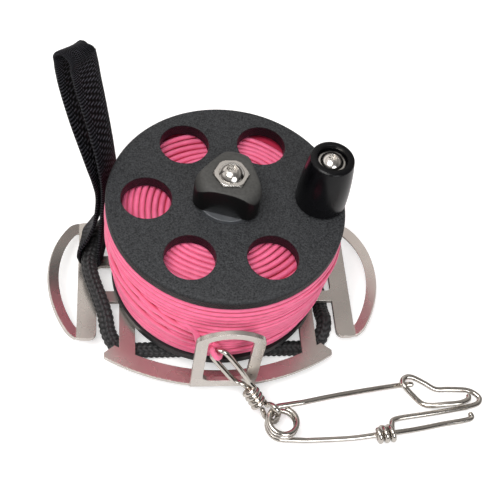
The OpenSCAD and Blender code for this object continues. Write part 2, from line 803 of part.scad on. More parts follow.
barrel_end = eye_foot + barrel_dir * barrel_len;
eye_loop = [[20.5, -0.9], [15.5, -2.3], [10.5, -3], [3.2, -eye_half], [0.9, -2.3], [0, 0],
    [0.9, 2.3], [3.2, eye_half], [10.5, 3], [16, 2.6], [22, 2.4]];
bail_points = [
    [18.6, -67.6, 3.6], [19.3, -68.4, 5.6], [20.8, -69.9, 6.8], [22.4, -71.4, 5.9],
    [23, -72.3, 3.2], [23, -72.4, -1.8], [22.3, -71.9, -4.6], [20.6, -70.4, ground_z + eye_d / 2],
    [18.8, -69.3, -5], [17.9, -69, -2.6]];
eye_path = concat(
    smooth_open(concat([barrel_end - barrel_dir, eye_foot], [for (p = eye_loop) eye_side(p[0], p[1])]), 2),
    [for (i = [0:curl_rings * wrap_turns]) wrap_point(i / curl_rings)],
    smooth_open(concat([wrap_point(wrap_turns)], bail_points, [barrel_end + 1.6 * barrel_dir]), 2));
echo(least_gap_of_eye = least_gap(eye_path, curl_rings / 2, eye_d));

module clip_eye() {
    color("gainsboro") tube(eye_path, eye_d, 6);
}

// ---- assembly ----
frame_plate();
spindle();
thrust_washer();
spool_body();
bottom_flange();
flange_screws();
lower_bush();
upper_bush();
line_core();
line_winding();
handle_grip();
handle_sleeve();
handle_washer();
handle_screw();
handle_nut();
pressure_washer();
drag_knob();
knob_nut();
drag_screw();
lashing_cord();
wrist_strap();
line_lead();
clip_eye();
clip_body();
clip_latch();
clip_arm();
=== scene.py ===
import math
import bmesh
import bpy
from mathutils import Matrix, Vector


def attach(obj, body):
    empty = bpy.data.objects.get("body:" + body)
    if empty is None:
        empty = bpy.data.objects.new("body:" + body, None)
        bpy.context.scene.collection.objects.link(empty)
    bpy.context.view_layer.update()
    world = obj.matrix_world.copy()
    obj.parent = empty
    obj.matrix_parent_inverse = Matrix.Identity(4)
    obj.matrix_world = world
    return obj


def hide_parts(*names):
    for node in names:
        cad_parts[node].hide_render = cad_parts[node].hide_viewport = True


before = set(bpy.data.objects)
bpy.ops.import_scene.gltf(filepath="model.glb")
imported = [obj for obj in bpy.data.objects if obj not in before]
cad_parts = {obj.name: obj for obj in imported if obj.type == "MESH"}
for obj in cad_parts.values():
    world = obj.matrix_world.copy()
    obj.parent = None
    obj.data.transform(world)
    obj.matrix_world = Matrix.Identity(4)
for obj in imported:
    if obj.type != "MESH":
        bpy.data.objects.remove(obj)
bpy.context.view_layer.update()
scene = bpy.context.scene

# ---- Room and camera ----
# A white table under a wide soft lamp at the front left, with a weaker one low
# in front. The room is bright behind the reel and dark on the camera's side.
azimuth, elevation, tilt = (math.radians(a) for a in (-15.0, 55.71, 12.68))
look_at = Vector((0.00752, -0.02537, 0.05955))
distance = 0.36438
sensor, picture_width, focal_length = 36, 500, 911.51
back = Vector((math.sin(azimuth) * math.cos(elevation), -math.cos(azimuth) * math.cos(elevation),
               math.sin(elevation)))
level = (-back).cross(Vector((0, 0, 1))).normalized()
upright = level.cross(-back)
right = level * math.cos(tilt) + upright * math.sin(tilt)
top = upright * math.cos(tilt) - level * math.sin(tilt)

camera = bpy.data.objects.new("camera", bpy.data.cameras.new("camera"))
camera.data.sensor_width = sensor
camera.data.lens = focal_length / picture_width * sensor
camera.data.clip_start = 0.01
stand = look_at + back * distance
camera.matrix_world = Matrix((
    (right.x, top.x, back.x, stand.x), (right.y, top.y, back.y, stand.y),
    (right.z, top.z, back.z, stand.z), (0, 0, 0, 1)))
scene.collection.objects.link(camera)
scene.camera = camera
scene.view_settings.view_transform = "Standard"

table_z, table_half = -0.00665, 3
table_mesh = bmesh.new()
bmesh.ops.create_grid(table_mesh, x_segments=2, y_segments=2, size=table_half,
                      matrix=Matrix.Translation((0, 0, table_z)))
table = bpy.data.objects.new("table", bpy.data.meshes.new("table"))
table_mesh.to_mesh(table.data)
table_mesh.free()
scene.collection.objects.link(table)
white = bpy.data.materials.new("white_table")
white.use_nodes = True
tree = white.node_tree
tree.nodes["Principled BSDF"].inputs["Base Color"].default_value = (0.8, 0.8, 0.8, 1)
tree.nodes["Principled BSDF"].inputs["Roughness"].default_value = 0.6
tree.nodes["Principled BSDF"].inputs["Specular IOR Level"].default_value = 0.2
glow = tree.nodes.new("ShaderNodeEmission")
glow.inputs["Color"].default_value = (1, 1, 1, 1)
path_of_light = tree.nodes.new("ShaderNodeLightPath")
seen = tree.nodes.new("ShaderNodeMath")
seen.operation = "MULTIPLY"
seen.inputs[1].default_value = 0.45
tree.links.new(path_of_light.outputs["Is Camera Ray"], seen.inputs[0])
tree.links.new(seen.outputs[0], glow.inputs["Strength"])
both = tree.nodes.new("ShaderNodeAddShader")
tree.links.new(tree.nodes["Principled BSDF"].outputs[0], both.inputs[0])
tree.links.new(glow.outputs[0], both.inputs[1])
tree.links.new(both.outputs[0], tree.nodes["Material Output"].inputs["Surface"])
table.data.materials.append(white)


def lamp(name, place, aim, size, watts, colour):
    made = bpy.data.objects.new(name, bpy.data.lights.new(name, "AREA"))
    made.data.shape = "DISK"
    made.data.size = size
    made.data.energy = watts
    made.data.color = colour
    made.location = place
    made.rotation_euler = (Vector(aim) - Vector(place)).to_track_quat("-Z", "Y").to_euler()
    scene.collection.objects.link(made)


lamp("ceiling_lamp", (-0.3, -0.3, 0.95), (0, 0, 0.03), 0.6, 7.5, (1, 0.99, 0.98))
lamp("window", (0.3, -0.75, 0.5), (0, 0, 0.03), 0.5, 3.7, (0.96, 0.98, 1))

room = bpy.data.worlds.new("room")
scene.world = room
room.use_nodes = True
sky = room.node_tree.nodes
where = sky.new("ShaderNodeTexCoord")
split = sky.new("ShaderNodeSeparateXYZ")
walls = sky.new("ShaderNodeValToRGB")
walls.color_ramp.elements[0].position = 0.0
walls.color_ramp.elements[0].color = (0.10, 0.09, 0.085, 1)
walls.color_ramp.elements[1].position = 1.0
walls.color_ramp.elements[1].color = (0.40, 0.39, 0.38, 1)
for place, colour in (
        (0.25, (0.16, 0.145, 0.135, 1)), (0.45, (0.80, 0.78, 0.76, 1)), (0.62, (0.30, 0.28, 0.27, 1)),
        (0.82, (0.66, 0.64, 0.62, 1)), (0.9, (0.46, 0.44, 0.43, 1))):
    walls.color_ramp.elements.new(place).color = colour
room.node_tree.links.new(where.outputs["Generated"], split.inputs[0])
room.node_tree.links.new(split.outputs["Z"], walls.inputs[0])
room.node_tree.links.new(walls.outputs[0], sky["Background"].inputs["Color"])


def fading(axis, begin, end, first, last):
    """A number that goes from first to last across the room."""
    fade = sky.new("ShaderNodeMapRange")
    fade.interpolation_type = "SMOOTHSTEP"
    for key, value in (("From Min", begin), ("From Max", end), ("To Min", first), ("To Max", last)):
        fade.inputs[key].default_value = value
    room.node_tree.links.new(split.outputs[axis], fade.inputs["Value"])
    return fade.outputs["Result"]


strength = sky.new("ShaderNodeMath")
strength.operation = "MULTIPLY"
room.node_tree.links.new(fading("Y", -0.6, 0.25, 0.3, 1.1), strength.inputs[0])
room.node_tree.links.new(fading("X", -0.08, 0.35, 1.5, 0.55), strength.inputs[1])
room.node_tree.links.new(strength.outputs[0], sky["Background"].inputs["Strength"])

# ---- Line lead ----
# The free end of the pink braided polyester line: it leaves the winding,
# drops to the guide's window and is hitched and knotted round the top of the
# clip's eye.
MM = 0.001
line_d, line_sides, lead_step = 2.5 * MM, 14, 0.35 * MM
lead_points = [
    (-19.5, -44.1, 37.5), (-15.8, -46.9, 35.9), (-13.2, -49, 33.6), (-12.2, -50.4, 30.4),
    (-10.4, -51.4, 28), (-8, -51.5, 28), (-5.9, -51, 27.9), (-4.1, -51.1, 26),
    (-3.1, -52.4, 24.6), (-3, -54.5, 24.4), (-3.9, -56, 25.6), (-5.1, -56.1, 27.3),
    (-6.5, -55, 29.3), (-7.2, -53.9, 31.4)]


def through(points, steps, ring=False):
    """A smooth run through points in millimetres, in metres."""
    marks = [Vector(p) * MM for p in points]
    count = len(marks)
    run = []
    for i in range(count if ring else count - 1):
        before = marks[i - 1] if ring or i > 0 else marks[i]
        after = marks[(i + 2) % count] if ring else marks[min(i + 2, count - 1)]
        here, beyond = marks[i], marks[(i + 1) % count]
        for k in range(steps):
            t = k / steps
            run.append(0.5 * (2 * here + (beyond - before) * t
                              + (2 * before - 5 * here + 4 * beyond - after) * t * t
                              + (3 * here - before - 3 * beyond + after) * t * t * t))
    return run if ring else run + [marks[-1]]


def evenly(run, step, ring=False):
    """The same run with its points step apart."""
    marks = run + run[:1] if ring else run
    reach = [0]
    for a, b in zip(marks, marks[1:]):
        reach.append(reach[-1] + (b - a).length)
    count = max(2, round(reach[-1] / step))
    spaced, i = [], 0
    for k in range(count if ring else count + 1):
        goal = reach[-1] * k / count
        while i < len(marks) - 2 and reach[i + 1] < goal:
            i += 1
        spaced.append(marks[i].lerp(marks[i + 1], (goal - reach[i]) / (reach[i + 1] - reach[i])))
    return spaced


def sweep(skin, run, shape, sides, ring=False, facing=None, start=(0.3, 0.2, 1)):
    """Sweeps a cross-section along a run of points.

    shape(i, turn) is its reach to the side and up at point i, and how far it stands
    out of the painted shade in the gaps there. facing holds the side direction where
    the section mustn't turn freely."""
    count = len(run)
    ways = [((run[(i + 1) % count] if ring or i < count - 1 else run[i])
             - (run[i - 1] if ring or i > 0 else run[i])).normalized() for i in range(count)]
    side = Vector(start)
    sideways = []
    for i, way in enumerate(ways):
        side = Vector(facing[i]) if facing else side
        side = (side - way * side.dot(way)).normalized()
        sideways.append(side)
    untwist = 0
    if ring and not facing:
        last = (side - ways[0] * side.dot(ways[0])).normalized()
        untwist = math.atan2(ways[0].dot(last.cross(sideways[0])), last.dot(sideways[0]))
    rows = count if ring else count - 1
    faces_before = len(skin.faces)
    marks = skin.loops.layers.uv.verify()
    clear_of_gap_shade = skin.verts.layers.float.get("clear_of_gap_shade") or skin.verts.layers.float.new("clear_of_gap_shade")
    made = bmesh.ops.create_grid(skin, x_segments=rows, y_segments=sides, size=1, calc_uvs=True)["verts"]
    length = sum((run[(i + 1) % count] - run[i]).length for i in range(rows))
    skin.faces.ensure_lookup_table()
    for face in skin.faces[faces_before:]:
        face.smooth = True
        for corner in face.loops:
            corner[marks].uv.x *= length
    for v in made:
        row = round((v.co.x + 1) / 2 * rows)
        turn = math.tau * (v.co.y + 1) / 2
        i = row % count
        x, y, v[clear_of_gap_shade] = shape(i, turn)
        out = sideways[i]
        out = Matrix.Rotation(untwist * row / rows, 3, ways[i]) @ out if untwist else out
        v.co = run[i] + out * x + ways[i].cross(out) * y
    bmesh.ops.remove_doubles(skin, verts=made, dist=1e-7)


def rounded(count, radius, rings=3, open_side=None, shade=0.6):
    """A round section that closes to a rounded end over the last few points.

    Where strands lie close together, open_side is the turn that faces away from
    the neighbours, and shade is how fast a painted shade darkens the strand
    towards them."""
    def shape(i, turn):
        near = min(i, count - 1 - i, rings) / rings
        size = radius * math.sqrt(max(0.0, 1 - (1 - near) ** 2))
        clear_of_gap_shade = 1.0 if open_side is None else abs(math.cos(turn - open_side)) ** shade
        return size * math.cos(turn), size * math.sin(turn), clear_of_gap_shade
    return shape


def piece(name, skin, body, finish, slot, *nodes):
    """Makes the mesh an object in the reel, standing for its CAD nodes."""
    bmesh.ops.recalc_face_normals(skin, faces=skin.faces)
    made = bpy.data.objects.new(name, bpy.data.meshes.new(name))
    skin.to_mesh(made.data)
    skin.free()
    made.data.materials.append(finish)
    scene.collection.objects.link(made)
    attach(made, body)
    if nodes:
        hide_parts(*nodes)
    return made


def plain(name, colour, roughness, metallic=0.0):
    """A new material: its nodes, a function that joins sockets, and its shader."""
    finish = bpy.data.materials.new(name)
    finish.use_nodes = True
    shader = finish.node_tree.nodes["Principled BSDF"]
    shader.inputs["Base Color"].default_value = (*colour, 1)
    shader.inputs["Roughness"].default_value = roughness
    shader.inputs["Metallic"].default_value = metallic
    return finish, finish.node_tree.nodes, finish.node_tree.links.new, shader


def places(nodes, join, stretch, source="Object"):
    """Coordinates stretched by so much along each axis."""
    coords = nodes.new("ShaderNodeTexCoord")
    mapping = nodes.new("ShaderNodeMapping")
    mapping.inputs["Scale"].default_value = stretch
    join(coords.outputs[source], mapping.inputs["Vector"])
    return mapping.outputs["Vector"]


def mottle(nodes, join, where, scale, detail, low, high):
    """Noise that wanders between two values."""
    noise = nodes.new("ShaderNodeTexNoise")
    noise.inputs["Scale"].default_value = scale
    noise.inputs["Detail"].default_value = detail
    join(where, noise.inputs["Vector"])
    spread = nodes.new("ShaderNodeMapRange")
    spread.inputs["From Min"].default_value = 0.3
    spread.inputs["From Max"].default_value = 0.7
    spread.inputs["To Min"].default_value = low
    spread.inputs["To Max"].default_value = high
    join(noise.outputs["Fac"], spread.inputs["Value"])
    return spread.outputs["Result"]


def shades(nodes, join, amount, shader, dark, light):
    """The base colour goes from dark to light with the amount."""
    ramp = nodes.new("ShaderNodeValToRGB")
    ramp.color_ramp.elements[0].color = (*dark, 1)
    ramp.color_ramp.elements[1].color = (*light, 1)
    join(amount, ramp.inputs["Fac"])
    join(ramp.outputs["Color"], shader.inputs["Base Color"])


def times(nodes, join, first, second):
    """The product of two sockets."""
    product = nodes.new("ShaderNodeMath")
    product.operation = "MULTIPLY"
    join(first, product.inputs[0])
    join(second, product.inputs[1])
    return product.outputs[0]


def painted_gap_shade(nodes, join, amount):
    """The amount, darkened by painted shade down in the sweep's gaps where little light falls."""
    high = nodes.new("ShaderNodeAttribute")
    high.attribute_name = "clear_of_gap_shade"
    return times(nodes, join, high.outputs["Fac"], amount)


def relief(nodes, join, height, shader, depth, strength=1.0, under=None):
    """Raises the surface by the height, depth metres at most, over the normal under it."""
    bump = nodes.new("ShaderNodeBump")
    bump.inputs["Distance"].default_value = depth
    bump.inputs["Strength"].default_value = strength
    join(height, bump.inputs["Height"])
    if under:
        join(under, bump.inputs["Normal"])
    join(bump.outputs["Normal"], shader.inputs["Normal"])


pink_line, nodes, join, shader = plain("pink_polyester_braid", (0.98, 0.16, 0.31), 0.5)
braid = nodes.new("ShaderNodeTexWave")
braid.bands_direction = "DIAGONAL"
braid.inputs["Scale"].default_value = 1.0
braid.inputs["Distortion"].default_value = 1.5
join(places(nodes, join, (900, 3, 1), "UV"), braid.inputs["Vector"])
fuzz = mottle(nodes, join, places(nodes, join, (1, 1, 1)), 900, 3, 0, 1)
mixed = nodes.new("ShaderNodeMath")
mixed.operation = "ADD"
join(braid.outputs["Fac"], mixed.inputs[0])
join(fuzz, mixed.inputs[1])
relief(nodes, join, mixed.outputs[0], shader, 0.00006, 0.5)
tint = mottle(nodes, join, places(nodes, join, (1, 1, 1)), 260, 4, 0.75, 1)
# The random tint is the line's own uneven tone; painted shade takes the line towards dark red down in the
# gaps between turns.
shades(nodes, join, painted_gap_shade(nodes, join, tint), shader, (0.50, 0.02, 0.065), (1.0, 0.185, 0.36))
shader.inputs["Sheen Weight"].default_value = 0.25
shader.inputs["Sheen Roughness"].default_value = 0.4
shader.inputs["Subsurface Weight"].default_value = 0.05
shader.inputs["Subsurface Radius"].default_value = (0.002, 0.0006, 0.0008)
shader.inputs["Subsurface Scale"].default_value = 0.5

lead_run = evenly(through(lead_points, 8), lead_step)
skin = bmesh.new()
sweep(skin, lead_run, rounded(len(lead_run), line_d / 2), line_sides)
knot_from, knot_to = Vector((-10.4, -51.45, 28.1)) * MM, Vector((-7.0, -51.4, 28.0)) * MM
knot_turns, knot_steps, knot_r, knot_line_r = 2.5, 40, 1.9 * MM, 0.46 * line_d
knot_run = []
for i in range(knot_steps + 1):
    wrap = math.tau * knot_turns * i / knot_steps
    knot_run.append(knot_from.lerp(knot_to, i / knot_steps)
                    + knot_r * Vector((0, math.sin(wrap), math.cos(wrap))))
sweep(skin, knot_run, rounded(len(knot_run), knot_line_r), 12, start=(1, 0.2, 0.1))
lead = piece("line_end", skin, "eye", pink_line, "line_pink", "line_lead")

# ---- Wound line ----
# Some 50 m of the same line on the hub, fuller towards the top flange. The outer
# layer lies in close turns with a few strands crossing over it; the end face of
# the inner layers shows under the holes.
fill_marks = ((8.6, 45.5), (13, 46.2), (21, 47.2), (30, 48.5), (38, 49.15), (52.5, 48.95))
wind_from, wind_to = 8.6, 52.5
turns, turn_steps = 17, 110


def filled(height):
    """How far out the outer turns lie at a height: fuller towards the top flange."""
    for (low, near), (high, far) in zip(fill_marks, fill_marks[1:]):
        if height <= high:
            return near + (far - near) * max(0, height - low) / (high - low)
    return fill_marks[-1][1]


def wound(angle, radius, height):
    """A point round the spool, in metres."""
    return Vector((radius * math.cos(angle), radius * math.sin(angle), height)) * MM


skin = bmesh.new()
outer_run = []
steps = turns * turn_steps
for i in range(steps + 1):
    angle = -math.pi / 2 - math.tau * i / turn_steps
    wander = 0.3 * math.sin(2 * angle + 1) + 0.15 * math.sin(5 * angle + i * 0.004)
    height = wind_from + (wind_to - wind_from) * min(1, i / (steps - turn_steps))
    outer_run.append(wound(angle, filled(height) + 0.25 * math.sin(0.013 * i),
                           height + wander * math.sin(math.pi * i / steps)))
# Painted shade darkens each outer turn towards its neighbours.
sweep(skin, outer_run, rounded(len(outer_run), line_d / 2, open_side=math.pi / 2, shade=1.4), line_sides)
sunk, lift, cross_step, cross_r = 0.6, 1.6, 0.9, 49
crossings = [
    (-2.75, -1.62, 44, 33), (-2.95, -1.50, 40, 28.5), (-3.0, -1.35, 33, 19.5),
    (-2.2, 0.4, 15.5, 24), (0.3, 2.3, 42, 24), (1.0, 2.4, 20, 38), (-1.2, 1.2, 48, 34)]
for number, (begin, end, low, high) in enumerate(crossings):
    count = round(abs(end - begin) * cross_r / cross_step)
    run = []
    for i in range(count + 1):
        t = i / count
        over = math.sin(min(1, 5 * t, 5 * (1 - t)) * math.pi / 2)
        height = low + (high - low) * (t * t * (3 - 2 * t)) + 0.4 * math.sin(5 * t + number)
        run.append(wound(begin + (end - begin) * t, filled(height) - sunk + lift * over, height))
    sweep(skin, run, rounded(len(run), line_d / 2, open_side=math.pi / 2, shade=1.4), line_sides)
piece("outer_turns", skin, "spool", pink_line, "line_pink", "line_winding")

skin = bmesh.new()
end_turns, end_steps, end_first_r, end_last_r, end_pitch, end_z = 9, 90, 20.2, 43.2, 2.62, 51.1
end_run = []
for i in range(end_turns * end_steps + 1):
    angle = math.tau * i / end_steps
    wander = 0.7 * math.sin(2 * angle + i * 0.004) + 0.4 * math.sin(5 * angle + 2)
    end_run.append(wound(angle, min(end_first_r + end_pitch * i / end_steps + wander, end_last_r),
                         end_z + 0.5 * math.sin(3 * angle + i * 0.011)))
# Painted shade darkens each turn of the end face towards its neighbours.
sweep(skin, end_run, rounded(len(end_run), line_d / 2, open_side=0), 12)
inner_r, foot, head, below = 17.3, 7.2, 50.9, 1.0
outline = [(inner_r, foot), (fill_marks[0][1] - below, foot)]
outline += [(far - below, high) for high, far in fill_marks[1:-1]]
outline += [(fill_marks[-1][1] - below, head), (inner_r, head)]
corners = [skin.verts.new(Vector((x, 0, z)) * MM) for x, z in outline]
edges = [skin.edges.new((corners[i], corners[(i + 1) % len(corners)])) for i in range(len(corners))]
bmesh.ops.spin(skin, geom=corners + edges, cent=(0, 0, 0), axis=(0, 0, 1), angle=math.tau,
               steps=96, use_merge=True)
piece("wound_line", skin, "spool", pink_line, "line_pink", "line_core")

# ---- Spool ----
# Moulded glass-filled nylon: hub and top flange in one, with a fine grained
# skin, and a smoother lower flange held by three countersunk screws.
def edges_softened(nodes, join, radius):
    soft = nodes.new("ShaderNodeBevel")
    soft.samples = 4
    soft.inputs["Radius"].default_value = radius
    return soft.outputs["Normal"]


def dressed(finish, *names):
    """Gives CAD pieces their finish."""
    for name in names:
        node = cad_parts[name]
        node.data.materials.clear()
        node.data.materials.append(finish)


def grained(name, dark, light, roughness, grain, depth, soft, shine=0.5, low=0.5, upright=1.0):
    """Black moulded plastic with a grained skin.

    The grain's colour goes from low to 1 between dark and light. upright is how
    much of that is left on upright faces: painted shade that makes sides and walls
    darker than the level faces."""
    finish, nodes, join, shader = plain(name, dark, roughness)
    where = places(nodes, join, (1, 1, 1))
    speck = mottle(nodes, join, where, grain, 4, low, 1)
    coords = nodes.new("ShaderNodeTexCoord")
    facing_up = nodes.new("ShaderNodeSeparateXYZ")
    join(coords.outputs["Normal"], facing_up.inputs[0])
    # Painted shade: the colour falls off from level faces to upright ones with the normal.
    painted_upright_shade = nodes.new("ShaderNodeMapRange")
    for key, value in (("From Min", 0.1), ("From Max", 0.9), ("To Min", upright), ("To Max", 1.0)):
        painted_upright_shade.inputs[key].default_value = value
    join(facing_up.outputs["Z"], painted_upright_shade.inputs["Value"])
    shades(nodes, join, times(nodes, join, speck, painted_upright_shade.outputs["Result"]), shader, dark, light)
    join(mottle(nodes, join, where, 60, 3, roughness - 0.05, roughness + 0.06), shader.inputs["Roughness"])
    relief(nodes, join, speck, shader, depth, 0.6, edges_softened(nodes, join, soft))
    shader.inputs["Specular IOR Level"].default_value = shine
    return finish


# upright=0.05 paints shade on the flange's rim and hole walls, which go near black.
flange_black = grained("grained_black_nylon", (0.001, 0.001, 0.002), (0.060, 0.063, 0.067), roughness=0.46,
                       grain=1500, depth=0.0004, soft=0.0005, shine=0.28, low=0.1, upright=0.05)
lower_black = grained("plain_black_nylon", (0.010, 0.010, 0.011), (0.022, 0.022, 0.024), roughness=0.36,
                      grain=1200, depth=0.00004, soft=0.0004)
dressed(flange_black, "spool_body")
dressed(lower_black, "bottom_flange")
smoked, nodes, join, shader = plain("smoked_washer", (0.20, 0.21, 0.225), 0.3, 0.7)
where = places(nodes, join, (1, 1, 1))
shades(nodes, join, mottle(nodes, join, where, 200, 3, 0, 1), shader,
       (0.17, 0.18, 0.195), (0.24, 0.25, 0.265))
relief(nodes, join, mottle(nodes, join, where, 1500, 2, 0, 1), shader, 0.00001, 0.4,
       edges_softened(nodes, join, 0.0004))
dressed(smoked, "pressure_washer")

# ---- Bearings ----
# White acetal bushes and thrust washer on the turned steel spindle that is
# pressed into the plate.
acetal, nodes, join, shader = plain("white_acetal", (0.75, 0.74, 0.70), 0.35)
where = places(nodes, join, (1, 1, 1))
shades(nodes, join, mottle(nodes, join, where, 300, 3, 0, 1), shader, (0.68, 0.67, 0.63), (0.80, 0.79, 0.76))
relief(nodes, join, mottle(nodes, join, where, 900, 2, 0, 1), shader, 0.00002, 0.3,
       edges_softened(nodes, join, 0.0003))
dressed(acetal, "thrust_washer", "lower_bush", "upper_bush")


def steel(name, colour, roughness, stretch, depth, soft=None, source="Object", metallic=1.0):
    """Stainless steel with fine scratches that follow the stretch of its pattern."""
    finish, nodes, join, shader = plain(name, colour, roughness, metallic)
    scratch = mottle(nodes, join, places(nodes, join, stretch, source), 1, 2, 0, 1)
    where = places(nodes, join, (1, 1, 1))
    darker = tuple(c * 0.88 for c in colour)
    shades(nodes, join, mottle(nodes, join, where, 60, 3, 0, 1), shader, darker, colour)
    join(mottle(nodes, join, where, 90, 2, roughness * 0.92, roughness * 1.1), shader.inputs["Roughness"])
    relief(nodes, join, scratch, shader, depth, 0.5, edges_softened(nodes, join, soft) if soft else None)
    return finish


turned = steel("turned_steel", (0.66, 0.65, 0.63), 0.2, stretch=(300, 300, 6000), depth=0.00001, soft=0.0003)
dressed(turned, "spindle")

# ---- Screws and nuts ----
# Polished A4 stainless button-head screws with hexagon sockets, their nuts
# and washer, and the sleeve that the grip turns on.
polished = steel("polished_screw_steel", (0.74, 0.71, 0.67), 0.2, stretch=(900, 900, 900), depth=0.00001,
                 soft=0.0004)
dressed(polished, "flange_screws", "handle_sleeve", "handle_washer", "handle_screw", "handle_nut",
        "knob_nut", "drag_screw")

# ---- Drag knob ----
# A three-lobed black moulding over a hexagon nut. It clamps the spool when it
# is screwed down.
# upright=0.0 paints the knob's upright sides and hollow fully dark as shade.
knob_black = grained("satin_black_knob", (0.001, 0.001, 0.001), (0.078, 0.077, 0.073), roughness=0.4,
                     grain=900, depth=0.00006, soft=0.0012, shine=0.3, low=0.7, upright=0.0)
dressed(knob_black, "drag_knob")

# ---- Crank grip ----
# A turned black acetal grip that spins on its sleeve, with the screw's head
# sunk in its top.
grip_black = grained("polished_black_grip", (0.001, 0.001, 0.001), (0.004, 0.004, 0.005), roughness=0.24,
                     grain=400, depth=0.000008, soft=0.0008, shine=0.22)
dressed(grip_black, "handle_grip")

# ---- Frame plate ----
# One laser-cut sheet of 2 mm stainless steel, tumbled and left with a fine
# grain: the wings are bent up and the line guide folded to stand upright.
plate_steel = steel("grained_sheet_steel", (0.66, 0.615, 0.57), 0.27, stretch=(1500, 1500, 1500),
                    depth=0.000003, soft=0.0003, metallic=0.9)
dressed(plate_steel, "frame_plate")

# ---- Lashing cord ----
# A ring of 7 mm black braided polypropylene, led under the plate and up
# through its windows so that it binds the reel to the belt.
cord_d = 7.0 * MM
under = -3.8
cord_points = [
    (-54.6, 17, 8.1), (-56, 9.5, 8.1), (-57.4, 2, 8.1), (-56.5, -5, 7.6),
    (-53, -15, 5.8), (-50.3, -22.5, 3), (-48.8, -29, -1.2), (-45.4, -34.4, under),
    (-40, -36.8, under), (-30, -37, under), (-15, -37, under), (0, -37, under),
    (15, -37, under), (30, -37, under), (40, -36.8, under), (45.4, -34.4, under),
    (48.6, -29.5, -1.6), (49.5, -24.5, -0.8), (49.4, -17.5, under), (49, -9, under), (48.5, 0, under),
    (46, 12, under), (38, 21, under), (25, 25, under), (12, 26, under),
    (0, 26, under), (-12, 26, under), (-25, 27, under), (-36, 28, under),
    (-45.5, 27.5, -0.5), (-51.5, 23, 5.8)]
cord_step = 0.4
cord_run = evenly(through(cord_points, 8, ring=True), cord_step * MM, ring=True)
columns, stitch, slant, core, bulge = 5, 2.4, 0.55, 0.85, 0.2


def braided(i, turn):
    """A round section whose yarns stand out as stitches in columns."""
    column = turn / math.tau * columns % 1
    leg = abs(column - 0.5) * 2
    along = i * cord_step / stitch + slant * leg
    lump = abs(math.sin(math.pi * along)) ** 0.7 * math.sin(math.pi * (0.06 + 0.88 * leg)) ** 0.6
    size = cord_d / 2 * (core + bulge * lump)
    # The lump also sets how far each point stands out of the painted shade in the grooves.
    return size * math.cos(turn), size * math.sin(turn), lump


black_braid, nodes, join, shader = plain("black_braid", (0.012, 0.012, 0.013), 0.42)
fibre = mottle(nodes, join, places(nodes, join, (5000, 60, 1), "UV"), 1, 3, 0.6, 1)
shader.inputs["Specular IOR Level"].default_value = 0.3
# Painted shade: the braid goes near black down between its yarns and lighter on their tops.
shades(nodes, join, painted_gap_shade(nodes, join, fibre), shader, (0.0005, 0.0005, 0.0005), (0.04, 0.04, 0.042))
relief(nodes, join, fibre, shader, 0.0001, 0.8)
shader.inputs["Sheen Weight"].default_value = 0.15
skin = bmesh.new()
sweep(skin, cord_run, braided, 60, ring=True)
for v in skin.verts:
    v.co.z = max(v.co.z, table_z + 0.05 * MM)
lashing = piece("lashing", skin, "frame", black_braid, "cord_black", "lashing_cord")

# ---- Wrist strap ----
# A loop of 15 mm black nylon webbing, sewn to a ring and folded round the
# cord; it stands up beside the spool and opens at its top.
strap_w, strap_t = 15.0 * MM, 1.8 * MM
strap_points = [
    (-56, 9.5, 8.1), (-56, 10.2, 13), (-51.8, 16, 24), (-49.8, 20.5, 40), (-52, 21.5, 58),
    (-56, 23.5, 80), (-59.3, 25, 100), (-60.5, 25, 113)]
strap_run = through(strap_points, 2)
rows = len(strap_run) - 1
foot_half, pinch_half, top_half = 4.8 * MM, 1.3 * MM, 3.5 * MM
foot_turn, leg_turn, top_turn = 10.6, 23.0, 38.0
lean = math.radians(20)
swell = 1.5 * MM
fold_ends, pinched, turned_by, opens, twists, leans = 1, 5, 6, 6, 8, 9


def ease(t):
    return (1 - math.cos(math.pi * min(max(t, 0), 1))) / 2


def strap_turn(i):
    """How far the strap is turned about its height at a row."""
    return math.radians(foot_turn + (leg_turn - foot_turn) * ease((i - fold_ends) / (turned_by - fold_ends))
                        + (top_turn - leg_turn) * ease((i - twists) / (rows - twists)))


def strap_across(i):
    return Vector((math.cos(strap_turn(i)), -math.sin(strap_turn(i)), 0))


def strap_half(i):
    """Half the gap between the two legs at a row."""
    opening = min(max((i - opens) / (rows - opens), 0), 1)
    return (foot_half + (pinch_half - foot_half) * ease((i - fold_ends) / (pinched - fold_ends))
            + (top_half - pinch_half) * ease(opening) + swell * math.sin(math.pi * opening))


def strap_lean(i):
    return lean * ease((i - leans) / (rows - leans))


bend_steps = 8
loop, turn_at, lean_at = [], [], []
for i in range(rows + 1):
    loop.append(strap_run[i] + strap_across(i) * strap_half(i))
    turn_at.append(strap_turn(i))
    lean_at.append(strap_lean(i))
for k in range(1, bend_steps):
    loop.append(strap_run[rows] + top_half * (math.cos(math.pi * k / bend_steps) * strap_across(rows)
                                              + math.sin(math.pi * k / bend_steps) * Vector((0, 0, 1))))
    turn_at.append(strap_turn(rows))
    lean_at.append(lean)
for i in range(rows, -1, -1):
    loop.append(strap_run[i] - strap_across(i) * strap_half(i))
    turn_at.append(strap_turn(i))
    lean_at.append(strap_lean(i))
for k in range(1, bend_steps):
    loop.append(strap_run[0] - foot_half * (math.cos(math.pi * k / bend_steps) * strap_across(0)
                                            + math.sin(math.pi * k / bend_steps) * Vector((0, 0, 1))))
    turn_at.append(strap_turn(0))
    lean_at.append(0)
fine, edge_round = 5, 0.42
smooth_loop = through([p / MM for p in loop], fine, ring=True)
widths = []
for i in range(len(loop)):
    for k in range(fine):
        turn = turn_at[i] + (turn_at[(i + 1) % len(loop)] - turn_at[i]) * k / fine
        drop = lean_at[i] + (lean_at[(i + 1) % len(loop)] - lean_at[i]) * k / fine
        widths.append((math.sin(turn) * math.cos(drop), math.cos(turn) * math.cos(drop), -math.sin(drop)))


